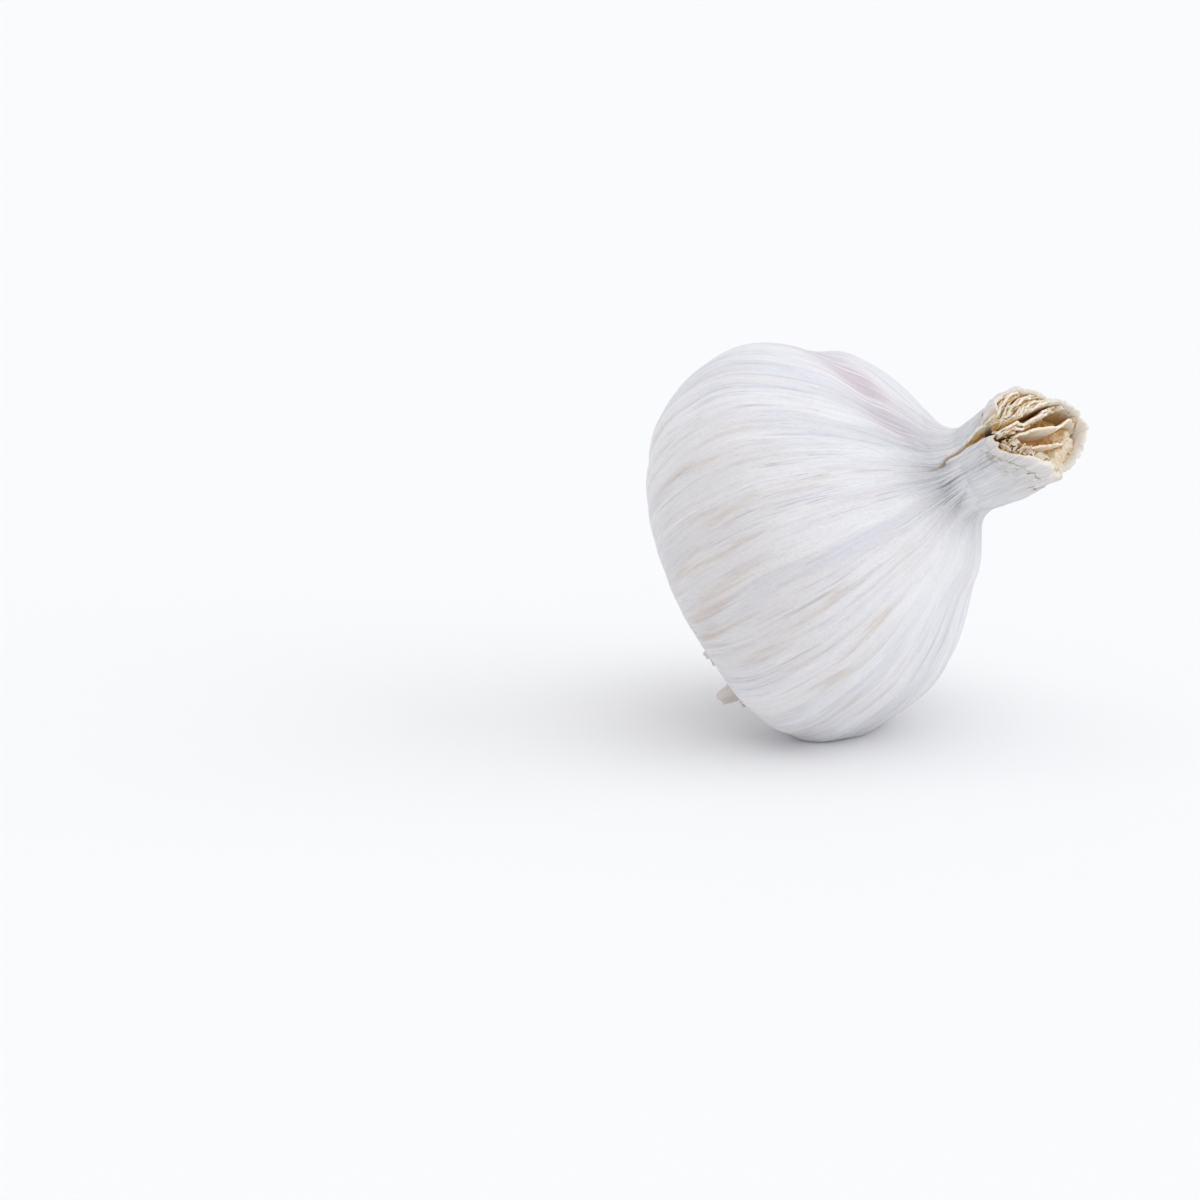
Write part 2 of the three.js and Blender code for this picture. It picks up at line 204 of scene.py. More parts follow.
def skin_surface(share, angle):
    """Radius, height and the marks of the skin at a share of the outline and an angle."""
    a = np.radians(angle)
    radius, height = through(OUTLINE, share).T
    outline_height = height
    outside = share < RIM_AT + 0.02
    on_outline = share > LIP_AT
    neck = smooth(height, BODY_HEIGHT - 1, BODY_HEIGHT + 5)
    shoulder = np.where(outside, bump(height, BODY_HEIGHT + 0.5, 4.5), 0)
    on_body = smooth(height, -2, 7) * (1 - smooth(height, BODY_HEIGHT - 9, BODY_HEIGHT + 2))
    body = np.where(on_outline, on_body, 0)
    fuller = (FULLER_TOP_SIDE + FULLER_WITH_HEIGHT * (height / BODY_HEIGHT - 0.5)) * (1 - neck)
    full_radius = radius
    radius = radius * (1 - fuller * np.cos(a))
    for at, depth, width in CLOVE_VALLEYS:
        radius = radius - depth * bump(around(angle, at), 0, width) * (body + 0.35 * shoulder)
    at, turn, depth, width = WINDING_VALLEY
    at = at + turn * np.clip((height - 24) / (BODY_HEIGHT - 24), 0, 1) ** 2
    reach = on_outline * smooth(height, -2, 7) * (1 - smooth(height, BODY_HEIGHT - 5, BODY_HEIGHT + 1))
    radius = radius - depth * bump(around(angle, at), 0, width) * reach
    for at, up, out, width, tall in FULL_PLACES:
        there = smooth(share, LIP_AT - 0.04, LIP_AT) * bump(height, up, tall) * (1 - neck)
        radius = radius + out * bump(around(angle, at), 0, width) * there

    # Low relief: the leaf's ribs, the creases between them and a little unevenness.
    uneven = 0.6 + 0.4 * patchy(angle, height, 9, 9, 5)
    on_skin = np.where(outside, smooth(full_radius, 3, 9), 0)
    radius = radius + RIB_DEPTH * np.cos(RIBS * a + 2 * np.sin(3 * a)) * body
    radius = radius + SWELLING * patchy(angle, height, 6, 7, 3) * body
    creases = CREASE_DEPTH * folds(angle, height, CREASES, 1.0, 8) * (1 - neck)
    creases = creases + FINE_CREASE_DEPTH * folds(angle, height, FINE_CREASES, 1.0, 21) * (1 - 0.5 * neck)
    radius = radius + creases * uneven * on_skin

    # Pleats where the skin is drawn into the neck, fading out on it, and the crumpling at its foot.
    drawn = np.where(outside, np.maximum(bump(height, BODY_HEIGHT + 1.2, 2.8), 0.35 * neck), 0)
    broken = np.clip(0.6 + 0.5 * patchy(angle, height, 26, 1.6, 12), 0.1, 1.4)
    pleats = BROAD_PLEAT_DEPTH * np.cos(BROAD_PLEATS * a + 1.5 * np.sin(2 * a))
    pleats = pleats + PLEAT_DEPTH * folds(angle, height, PLEATS, 1.1, 31)
    pleats = pleats + FINE_PLEAT_DEPTH * folds(angle, height, FINE_PLEATS, 0.9, 44) * broken
    where_pleated = 1 - 0.55 * bump(around(angle, 325), 0, 38) + 0.85 * bump(around(angle, 246), 0, 30)
    radius = radius + pleats * drawn * where_pleated
    dented = np.where(outside, bump(height, 46.5, 3.5), 0) * bump(around(angle, 350), 0, 32)
    radius = radius - UNDERSIDE_DENT * dented
    seen_side = 0.25 + 0.75 * bump(around(angle, 265), 0, 42)
    crumpled = np.where(outside, bump(height, BODY_HEIGHT - 0.4, 3), 0) * seen_side
    radius = radius + (CRUMPLE_DEPTH * patchy(angle, height, 48, 0.9, 77) - DIMPLE_DEPTH) * crumpled
    near_side = bump(around(angle, 262), 0, 34)
    near_neck = np.where(outside, neck, 0) * near_side
    radius = radius + NECK_SWELLING * patchy(angle, height, 12, 6, 91) * near_neck
    crease = 0.35 * bump(height, 50.2, 0.5) - 0.3 * bump(height, 51.3, 0.7)
    radius = radius + crease * bump(around(angle, 261), 0, 10) * on_outline * outside
    past_edge = around(angle, np.interp(height, SHEATH_EDGE[:, 0], SHEATH_EDGE[:, 1]))
    outer_sheath = smooth(past_edge, -3, 2) * (1 - smooth(past_edge, 12, 60)) * smooth(height, 40.5, 43.5)
    radius = radius + OUTER_SHEATH_STEP * outer_sheath * on_outline * outside

    # The slit: the sheath parts from its upper lip, falls away, and stands up again sharply at its lower lip.
    lower, upper = [np.interp(height, SLIT_LIPS[:, 0], SLIT_LIPS[:, i]) for i in (1, 2)]
    across = (angle - upper) / np.maximum(lower - upper, 0.5)
    open_here = smooth(height, 40.5, 44) * smooth(full_radius, 2, 5) * (share < RIM_AT + 0.09)
    inside_slit = smooth(across, -0.12, 0.1) * (1 - smooth(across, 0.93, 1.04)) * open_here
    gap = smooth(across, 0.3, 0.65) * smooth(height, 46, 50)
    fall = SLIT_FALL_AT_UPPER_LIP + SLIT_FALL_MORE_AT_LOWER * smooth(across, 0.2, 0.98)
    fall = fall * (0.35 + 0.65 * smooth(height, 42, 52)) + GAP_FALL * gap
    radius = radius - fall * inside_slit
    lips = LOWER_LIP_RISE * bump(across, 1.12, 0.14) + UPPER_LIP_RISE * bump(across, -0.3, 0.3)
    radius = radius + lips * open_here * smooth(height, 42, 50)

    rim_radius, rim_height = neck_rim(angle)
    toward_rim = smooth(height, BODY_HEIGHT + 5, NECK_RIM_HEIGHT) * smooth(full_radius, 2, 5)
    radius = radius + (rim_radius - RIM_RADIUS) * toward_rim
    rim = smooth(share, RIM_AT - 0.1, RIM_AT) * (1 - smooth(share, RIM_AT + 0.05, RIM_AT + 0.12))
    height = height + rim * (rim_height - NECK_RIM_HEIGHT)
    torn_lip = 0.55 * np.sin(11 * a + 1) + 0.4 * np.sin(29 * a + 2)
    height = height - bump(share, LIP_AT, 0.035) * 0.5 * torn_lip
    return radius, height, {
        "slit": inside_slit,
        "gap": inside_slit * gap,
        "inner": (share > RIM_AT + 0.012).astype(float),
        "crumpled": crumpled,
        "rim": smooth(share, RIM_AT - 0.12, RIM_AT),
        "mm_up": outline_height,
        "mm_along": length_along(share),
    }


def points_of(piece):
    """A piece's points, a row of x, y and z for each."""
    points = np.zeros(len(piece.data.vertices) * 3)
    piece.data.vertices.foreach_get("co", points)
    return points.reshape(-1, 3)


def give_mark(piece, mark, values):
    """Gives each point of a piece a number that its finish reads."""
    attribute = piece.data.attributes.new(mark, "FLOAT", "POINT")
    attribute.data.foreach_set("value", values.astype(np.float32))


bpy.ops.object.select_all(action="DESELECT")
bpy.ops.mesh.primitive_uv_sphere_add(segments=SKIN_SEGMENTS, ring_count=SKIN_RINGS, radius=1)
bulb_skin = bpy.context.object
bulb_skin.name = "bulb_skin"
ball = points_of(bulb_skin)
ring_share = 1 - np.arccos(np.clip(ball[:, 2], -1, 1)) / math.pi
# Rings are closer together on the neck, where the pleats and the torn rim need them.
skin_share = np.interp(ring_share, [0, 0.09, 0.47, 0.86, 1], [0, LIP_AT, SHOULDER_AT, RIM_AT + 0.02, 1])
skin_angle = np.degrees(np.arctan2(ball[:, 1], ball[:, 0])) % 360
skin_radius, skin_height, skin_marks = skin_surface(skin_share, skin_angle)
drift_x, drift_y = neck_drift(skin_height)
skin_rad = np.radians(skin_angle)
skin_points = laid(
    skin_radius * np.cos(skin_rad) + drift_x, skin_radius * np.sin(skin_rad) + drift_y, skin_height
)
skin_points[:, 2] = np.maximum(skin_points[:, 2], 0)
bulb_skin.data.vertices.foreach_set("co", skin_points.ravel())
bulb_skin.data.update()
bpy.ops.object.shade_smooth()

# What the finish follows: the fibres run with the leaf, so a point is known by its place round and along it.
round_and_along = np.column_stack([R * np.cos(skin_rad), R * np.sin(skin_rad), skin_marks["mm_along"]])
fibres = bulb_skin.data.attributes.new("fibres", "FLOAT_VECTOR", "POINT")
fibres.data.foreach_set("vector", round_and_along.ravel())
# Angle, height, half width in degrees and half length of each old tan streak on the skin.
TAN_STREAKS = [
    (228, 17, 2.2, 7), (264, 14, 2.5, 6), (280, 27, 2, 8), (283, 13, 3.5, 6), (304, 20, 3, 7),
    (298, 31, 2, 7), (251, 9, 3, 5), (318, 16, 4, 8), (272, 7, 4, 4), (243, 20, 1.2, 8), (205, 12, 2, 6),
    (345, 20, 5, 9), (120, 14, 4, 8), (60, 12, 5, 9), (22, 15, 3, 8), (160, 10, 3, 7), (92, 22, 2.5, 8),
]
tan_marks = np.zeros_like(skin_angle)
for at, up, half_width, half_length in TAN_STREAKS:
    tan_marks += bump(around(skin_angle, at), 0, half_width) * bump(skin_marks["mm_up"], up, half_length)
# The same of each pink flush, which follows the crease over the shoulder, and one on the far side.
PINK_PATCHES = [
    (170, 30, 7, 4), (178, 34.5, 7, 3.5), (187, 37, 8, 3), (198, 38.8, 9, 2.4), (209, 40.2, 9, 2),
    (48, 30, 9, 6),
]
pink_marks = np.zeros_like(skin_angle)
for at, up, half_width, half_length in PINK_PATCHES:
    pink_marks += bump(around(skin_angle, at), 0, half_width) * bump(skin_marks["mm_up"], up, half_length)
# The skin has aged most low on the side that is seen and round the root end, with tan smears; the grey laid
# on there is painted shade.
aged_and_shaded = 0.25 + 0.75 * bump(around(skin_angle, 255), 0, 48) * bump(skin_marks["mm_up"], 14, 15)
# White is laid on the neck, partly its own colour and partly painted light, and on the lobe below it as
# painted light.
pale_and_lit = bump(around(skin_angle, 318), 0, 26) * bump(skin_marks["mm_up"], 38, 7)
pale_and_lit = np.maximum(smooth(skin_marks["mm_up"], BODY_HEIGHT, BODY_HEIGHT + 4), pale_and_lit)
for mark, values in {
    "slit": skin_marks["slit"], "gap": skin_marks["gap"], "inner": skin_marks["inner"],
    "rim": skin_marks["rim"], "pale_and_lit": pale_and_lit, "crumpled": skin_marks["crumpled"], "aged_and_shaded": aged_and_shaded,
    "tan": np.clip(tan_marks, 0, 1), "pink": np.clip(pink_marks, 0, 1),
}.items():
    give_mark(bulb_skin, mark, values)


def srgb(text):
    """A hex colour as the linear colour that a shader takes."""
    parts = [int(text[i:i + 2], 16) / 255 for i in (0, 2, 4)]
    return (*[p / 12.92 if p <= 0.04045 else ((p + 0.055) / 1.055) ** 2.4 for p in parts], 1)


def add_node(tree, kind, settings, sockets):
    """One node: settings are its own options, and a socket takes a value or another node's output."""
    made = tree.nodes.new(kind)
    for option, value in settings.items():
        setattr(made, option, value)
    for socket, value in sockets.items():
        if isinstance(value, bpy.types.NodeSocket):
            tree.links.new(value, made.inputs[socket])
        else:
            made.inputs[socket].default_value = value
    return made.outputs


def new_finish(title):
    """An empty material with its shader, which the caller sets."""
    finish = bpy.data.materials.new(title)
    finish.use_nodes = True
    return finish, finish.node_tree, finish.node_tree.nodes["Principled BSDF"]


def tint(tree, where, strength, under, colour):
    """Lays a colour over another. Where lists what lets it through: a value by itself, or a value with the
    levels at which it starts to and fully does, and an easy curve between."""
    amount = strength
    for step in where:
        if isinstance(step, tuple):
            value, start, full = step
            step = add_node(tree, "ShaderNodeMapRange", {"interpolation_type": "SMOOTHSTEP"}, {
                "Value": value, "From Min": start, "From Max": full,
            })[0]
        amount = add_node(tree, "ShaderNodeMath", {"operation": "MULTIPLY", "use_clamp": True}, {
            0: step, 1: amount,
        })[0]
    return add_node(tree, "ShaderNodeMix", {"data_type": "RGBA"}, {0: amount, 6: under, 7: colour})[2]


def leaf_noise(tree, place, size, drawn_out, detail):
    """Noise in patches of a size in millimetres, drawn out so many times along the leaf."""
    longer = add_node(tree, "ShaderNodeVectorMath", {"operation": "MULTIPLY"}, {
        0: place, 1: (1, 1, 1 / drawn_out),
    })[0]
    return add_node(tree, "ShaderNodeTexNoise", {}, {
        "Vector": longer, "Scale": 1 / size, "Detail": detail, "Roughness": 0.6,
    })[0]


# Dried leaf is cream; the gold, brown and near black where it sees little sky are painted shade, and the gold
# is partly its own colour.
LEAF_PALE, LEAF_GREY, LEAF_GOLD, LEAF_SHADE_BROWN, LEAF_SHADOW_DARK = "F6EFE2", "E3D3B5", "D9AC60", "A0662E", "3A2412"


def leaf_with_painted_shade(tree, openness, unevenness, leaf_colour):
    """The colour of dried leaf with painted shade: gold, brown and near black where it sees little sky, a
    little uneven.
    """
    shade = add_node(tree, "ShaderNodeMath", {"operation": "MULTIPLY_ADD"}, {
        0: unevenness, 1: 0.4, 2: openness,
    })[0]
    # Painted shade, laid on by how little sky the leaf sees.
    leaf = tint(tree, [(shade, 0.95, 0.42)], 0.9, leaf_colour, srgb(LEAF_GOLD))
    leaf = tint(tree, [(shade, 0.4, 0.22)], 0.75, leaf, srgb(LEAF_SHADE_BROWN))
    return tint(tree, [(shade, 0.2, 0.11)], 0.85, leaf, srgb(LEAF_SHADOW_DARK))


# Dry garlic skin: thin layers of cellulose, matte to satin, a little see-through, with veins raised along the
# leaf. To the eye it is white, cooled by blue grey shadows of the layers beneath, with fine broken grey
# veins, tan smears where it has aged, and a flush of pink on the shoulder.
papery_skin, tree, shader = new_finish("dry_papery_garlic_skin")
fibre_place = add_node(tree, "ShaderNodeAttribute", {"attribute_name": "fibres"}, {})["Vector"]
marks = {
    mark: add_node(tree, "ShaderNodeAttribute", {"attribute_name": mark}, {})["Fac"]
    for mark in ("slit", "gap", "inner", "rim", "crumpled", "aged_and_shaded", "tan", "pink", "pale_and_lit", "open")
}
wavering = add_node(tree, "ShaderNodeTexNoise", {}, {"Vector": fibre_place, "Scale": 0.07, "Detail": 2.0})[1]
leaf_place = add_node(tree, "ShaderNodeVectorMath", {"operation": "MULTIPLY_ADD"}, {
    0: wavering, 1: (1.4, 1.4, 0), 2: fibre_place,
})[0]
broad_bands = leaf_noise(tree, leaf_place, 4.5, 9, 3.0)
patches = leaf_noise(tree, leaf_place, 3.0, 5, 4.0)
smears = leaf_noise(tree, leaf_place, 1.3, 9, 4.0)
streaks = leaf_noise(tree, leaf_place, 0.9, 22, 4.0)
fine_veins = leaf_noise(tree, leaf_place, 0.5, 60, 3.0)
come_and_go = leaf_noise(tree, leaf_place, 4.0, 3, 3.0)
grain = leaf_noise(tree, fibre_place, 0.3, 2.5, 3.0)

SKIN_WHITE, SKIN_BLUE, SKIN_WARM, SKIN_VEIN = "EDEDF0", "D9DCE4", "EBE4E0", "B1ADB3"
SKIN_BRIGHT = "FAFAFC"
SKIN_TAN, SKIN_PINK, SKIN_PALE, SKIN_SHADE_GREY, SKIN_RIM = "C6B29C", "C3AEBA", "F4F4F6", "D6D0CD", "DED0BC"
SLIT_TAN, SLIT_GAP_SHADOW = "D2BEA4", "2E1D10"
# The layers of colour from the lowest up: where each shows, how strong it is, and its colour.
colour = srgb(SKIN_WHITE)
for where, strength, laid_on in (
    ([(broad_bands, 0.4, 0.66)], 0.7, SKIN_BLUE),
    ([(patches, 0.48, 0.7)], 0.45, SKIN_WARM),
    ([(patches, 0.5, 0.3)], 0.45, SKIN_PALE),
    # Painted shade: grey over the low side that is seen.
    ([(marks["aged_and_shaded"], 0.25, 1.0)], 0.5, SKIN_SHADE_GREY),
    ([(smears, 0.5, 0.7), marks["aged_and_shaded"]], 0.32, SKIN_TAN),
    ([(smears, 0.4, 0.65), marks["tan"]], 0.4, SKIN_TAN),
    ([(streaks, 0.25, 0.6), marks["pink"]], 0.62, SKIN_PINK),
    ([(streaks, 0.5, 0.7)], 0.22, SKIN_VEIN),
    ([(streaks, 0.45, 0.3)], 0.4, SKIN_PALE),
    ([(fine_veins, 0.54, 0.68), (come_and_go, 0.35, 0.6)], 0.5, SKIN_VEIN),
    ([(grain, 0.5, 0.75)], 0.18, SKIN_VEIN),
    # Painted light: white over the neck and the lobe below it, partly the neck's own whiteness.
    ([marks["pale_and_lit"]], 0.65, SKIN_BRIGHT),
    ([(smears, 0.3, 0.65), marks["rim"]], 0.6, SKIN_RIM),
    ([marks["slit"]], 1.0, SLIT_TAN),
    # Painted shadow: near black down the gap in the slit.
    ([marks["gap"]], 1.0, SLIT_GAP_SHADOW),
):
    colour = tint(tree, where, strength, colour, srgb(laid_on))
# The inside of the cut neck is dried leaf, with painted shade where it sees little sky.
inside = leaf_with_painted_shade(tree, marks["open"], smears, srgb(LEAF_PALE))
colour = tint(tree, [marks["inner"]], 1.0, colour, inside)
tree.links.new(colour, shader.inputs["Base Color"])
shader.inputs["Roughness"].default_value = 0.5
shader.inputs["Subsurface Weight"].default_value = 0.15
shader.inputs["Subsurface Radius"].default_value = (1.0, 0.9, 0.85)
shader.inputs["Subsurface Scale"].default_value = 1.2 * MM

# Relief too fine for the mesh: the veins, the cross grain of the cells between them, and the crumpling at the
# foot of the neck.
VEIN_RELIEF = 0.16
crinkles = leaf_noise(tree, leaf_place, 0.9, 1.6, 3.0)
relief = grain
crumpling = add_node(tree, "ShaderNodeMath", {"operation": "MULTIPLY"}, {
    0: crinkles, 1: marks["crumpled"],
})[0]
for layer, weight in ((streaks, 1.5), (fine_veins, 1.0), (smears, 1.5), (crumpling, 7.0)):
    relief = add_node(tree, "ShaderNodeMath", {"operation": "MULTIPLY_ADD"}, {
        0: layer, 1: weight, 2: relief,
    })[0]
raised = add_node(tree, "ShaderNodeBump", {}, {
    "Strength": 0.8, "Distance": VEIN_RELIEF * MM, "Height": relief,
})[0]
tree.links.new(raised, shader.inputs["Normal"])
bulb_skin.data.materials.append(papery_skin)
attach(bulb_skin, "root")
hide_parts("bulb")

# Torn skin round the root end. The outermost leaf bases end here in stiff ragged flaps that stand off the
# bulb. Each is a sheet a few tenths of a millimetre thick, curled from a grid and given its thickness.
FLAP_THICKNESS = 0.45
FLAP_ROOT = 1.8
INNERMOST_FLAP = 15.2
# Angle, radius, width in degrees, reach and lean of each flap.
SKIN_FLAPS = [
    (319, 19, 36, 5, 2), (288, 17.2, 14, 2.4, 12), (96, 15.2, 26, 3.6, 15), (160, 15.2, 18, 2.6, 25),
]


def curled_sheet(title, across, along, thickness, middle):
    """A thin sheet: middle takes arrays u and v from 0 to 1 and gives x, y and height on the bulb's axis."""
    bpy.ops.object.select_all(action="DESELECT")
    bpy.ops.mesh.primitive_grid_add(x_subdivisions=across, y_subdivisions=along, size=2)
    sheet = bpy.context.object
    sheet.name = title
    u, v = (points_of(sheet)[:, :2].T + 1) / 2
    sheet.data.vertices.foreach_set("co", laid(*middle(u, v)).ravel())
    give_mark(sheet, "from_edge", 1 - v)
    strands = sheet.data.attributes.new("strands", "FLOAT_VECTOR", "POINT")
    strands.data.foreach_set("vector", np.column_stack([u, v, np.zeros_like(u)]).ravel())
    sheet.data.update()
    wall = sheet.modifiers.new("wall", "SOLIDIFY")
    wall.thickness = thickness * MM
    wall.offset = 0
    bpy.ops.object.modifier_apply(modifier=wall.name)
    bpy.ops.object.shade_smooth_by_angle(angle=math.radians(40))
    return sheet


def join_pieces(title, sheets):
    """Several sheets of one piece become one object."""
    bpy.ops.object.select_all(action="DESELECT")
    for sheet in sheets:
        sheet.select_set(True)
    bpy.context.view_layer.objects.active = sheets[0]
    bpy.ops.object.join()
    sheets[0].name = title
    return sheets[0]


flaps = []
for at, from_axis, width, reach, lean in SKIN_FLAPS:
    def flap_middle(u, v, at=at, from_axis=from_axis, width=width, reach=reach, lean=math.radians(lean)):
        a = np.radians(at + (u - 0.5) * width * (1 - 0.35 * v))
        out = reach * v * (1 + 0.16 * torn(u, 7, at) + 0.08 * torn(u, 25, at + 1))
        radius = from_axis * (1 - FULLER_TOP_SIDE * np.cos(a)) + out * math.sin(lean) + 0.3 * np.sin(7 * u)
        radius = radius + 0.12 * np.sin(19 * u + 5 * v) * v
        root = FLAP_ROOT + 0.25 * (from_axis - INNERMOST_FLAP)
        return radius * np.cos(a), radius * np.sin(a), root - out * math.cos(lean)
    flaps.append(curled_sheet(f"skin_flap_{at}", 64, 24, FLAP_THICKNESS, flap_middle))
torn_skin = join_pieces("torn_skin_flaps", flaps)


def strand_pattern(tree, across, along):
    """Fibres that run from a sheet's root to its torn edge, so many across it and so many along it."""
    place = add_node(tree, "ShaderNodeAttribute", {"attribute_name": "strands"}, {})["Vector"]
    drawn_out = add_node(tree, "ShaderNodeVectorMath", {"operation": "MULTIPLY"}, {
        0: place, 1: (across, along, 1),
    })[0]
    return add_node(tree, "ShaderNodeTexNoise", {}, {"Vector": drawn_out, "Scale": 1.0, "Detail": 4.0})[0]


# The same skin where it is torn and older: drier, matte, off-white with greyish tan fibres.
FLAP_WHITE, FLAP_FIBRE = "E8E5E2", "CBC0B5"
flap_skin, tree, shader = new_finish("dry_garlic_skin_torn_edge")
colour = tint(tree, [strand_pattern(tree, 16, 1.2)], 0.9, srgb(FLAP_WHITE), srgb(FLAP_FIBRE))
tree.links.new(colour, shader.inputs["Base Color"])
shader.inputs["Roughness"].default_value = 0.6
shader.inputs["Subsurface Weight"].default_value = 0.2
shader.inputs["Subsurface Scale"].default_value = MM
torn_skin.data.materials.append(flap_skin)
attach(torn_skin, "root")

# Torn layers of skin on the neck. The neck's skin is several leaf bases deep, and each layer has torn a bit
# lower than the one inside it, so its edge shows as a thin step. They are sheets laid close over the skin.
LAYER_THICKNESS = 0.13
# Angles from and to, places on the outline of its foot and its torn edge, the edge's rise, and how far out.
NECK_LAYERS = [
    (243, 312, 14.6, 16.4, 0.9, 0.27), (247, 318, 15.0, 16.8, 0.8, 0.22), (251, 324, 15.4, 17.2, 0.6, 0.16),
    (292, 376, 14.2, 17.0, 0.5, 0.18), (152, 226, 14.4, 16.9, -0.8, 0.2), (160, 222, 14.6, 16.4, -0.9, 0.3),
]
layers = []
for number, (start, end, foot, edge, rise, out) in enumerate(NECK_LAYERS):
    def layer_middle(u, v, start=start, end=end, foot=foot, edge=edge, rise=rise, out=out,
                     seed=900 + 3 * number):
        angle = start + u * (end - start)
        top = edge + rise * (u - 0.5) + 0.2 * torn(u, 8, seed) + 0.12 * torn(u, 34, seed + 1)
        radius, height, _ = skin_surface((foot + v * (top - foot)) / SPANS, angle)
        lifted = smooth(v, 0, 0.3) * smooth(np.minimum(u, 1 - u), 0, 0.16)
        radius = radius - 0.2 + (out + 0.1 * v * torn(u, 13, seed + 2) + 0.2) * lifted
        dx, dy = neck_drift(height)
        a = np.radians(angle)
        return radius * np.cos(a) + dx, radius * np.sin(a) + dy, height
    layers.append(curled_sheet(f"neck_layer_{number}", 110, 30, LAYER_THICKNESS, layer_middle))
neck_layers = join_pieces("torn_neck_layers", layers)
lying = points_of(neck_layers) / MM - ROOT_END_AT
layer_x = lying[:, 0] * math.sin(AXIS_RISE) - lying[:, 2] * math.cos(AXIS_RISE)
layer_height = lying[:, 0] * math.cos(AXIS_RISE) + lying[:, 2] * math.sin(AXIS_RISE)
layer_angle = np.arctan2(lying[:, 1], layer_x)
fibres = neck_layers.data.attributes.new("fibres", "FLOAT_VECTOR", "POINT")
fibres.data.foreach_set("vector", np.column_stack([
    R * np.cos(layer_angle), R * np.sin(layer_angle), layer_height + length_along(SHOULDER_AT) - BODY_HEIGHT,
]).ravel())
from_edge = np.zeros(len(neck_layers.data.vertices))
neck_layers.data.attributes["from_edge"].data.foreach_get("value", from_edge)
give_mark(neck_layers, "rim", smooth(from_edge, 0.35, 0.0))
# The same white on the neck layers, partly painted light.
give_mark(neck_layers, "pale_and_lit", np.full(len(from_edge), 0.8))
neck_layers.data.materials.append(papery_skin)
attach(neck_layers, "root")

# Inner sheaths of the cut neck. The leaves that carried on through the neck, dried and curled, and torn at
# uneven heights where it was cut. Each is one thin curled sheet, rooted in the pith at the neck's bottom.
SHEATH_THICKNESS = 0.35
SHEATH_CLEARANCE = 0.85
# For each sheath, points across the neck as x, y and the height of its torn top, and the height of its foot.
INNER_SHEATHS = {
    "tongue": ([
        (-4.2, -7.0, 54.3), (-3.8, -6.2, 55.8), (-3.5, -4.3, 57.2), (-3.3, -1.8, 58.4), (-3.1, 1.2, 59.4),
        (-2.8, 4.2, 60.2), (-2.2, 5.4, 60.9),
    ], 50),
    "tongue_second": ([
        (-3.9, -6.8, 54.2), (-3.5, -5.9, 55.6), (-3.2, -4, 57), (-3, -1.4, 58.2), (-2.8, 1, 59.2),
        (-2.5, 3.6, 60),
    ], 50),
    "tongue_third": ([
        (-3.6, -6.7, 53.9), (-3.2, -5.6, 55.3), (-2.9, -3.6, 56.7), (-2.7, -1, 57.9), (-2.5, 1, 58.8),
    ], 50),
    "spoon": ([
        (-1.6, -6.2, 55), (-2.4, -5.6, 55.8), (-2.2, -3.8, 57), (-1.4, -1.8, 58.2), (-0.3, 0.4, 59.2),
        (0.3, 3, 60), (0.2, 5.6, 60.8), (1.3, 6.8, 61), (2.6, 6.6, 60.6),
    ], 52.5),
    "spoon_front": ([
        (-1.5, -5.6, 55), (-0.3, -4.2, 55.7), (0.7, -2.9, 56.5), (1.5, -1.2, 57.2), (2.1, 0.8, 58),
        (2.6, 2.8, 58.8), (3, 4.6, 59.6),
    ], 51.5),
    "far_lobe": ([(-3.2, 5.2, 60), (-1.8, 6.8, 61), (-0.2, 7.6, 61.3), (1, 7.2, 61)], 52),
    "near": ([
        (-2.6, -6.7, 53.6), (-1.4, -6.9, 54.4), (-0.2, -6.5, 55.2), (1.1, -6, 56.2), (2.4, -5.1, 57),
        (3.6, -3.9, 57.6),
    ], 50),
    "near_second": ([
        (-1.8, -5.6, 53.8), (-0.6, -5.4, 54.6), (0.8, -4.6, 55.8), (2, -3.8, 56.4), (3.2, -2.4, 57),
    ], 50),
}

# The upper side of the neck is a close stack of leaves between these two.
STACK_OUTSIDE = [
    (-5.9, 2.4, 57.8), (-7.5, 0.3, 57), (-7.7, -2, 56.2), (-7.1, -3.9, 55), (-6.4, -5.2, 53.6),
    (-5.7, -6.1, 51.4),
]
STACK_INSIDE = [
    (-3.4, 3.2, 60.4), (-3.9, 1.4, 60), (-4.1, -0.4, 59.4), (-4.4, -2, 58.6), (-4.6, -3.6, 57.4),
    (-4.6, -5, 55.6),
]
STACKED_LEAVES = 11
draw = np.random.default_rng(23)
for i in range(STACKED_LEAVES):
    inward = i / (STACKED_LEAVES - 1)
    line = np.array(STACK_OUTSIDE) * (1 - inward) + np.array(STACK_INSIDE) * inward
    line[:, 2] += draw.uniform(-0.7, 0.3)
    INNER_SHEATHS[f"stacked_{i}"] = (line.tolist(), 46 + 4 * inward)


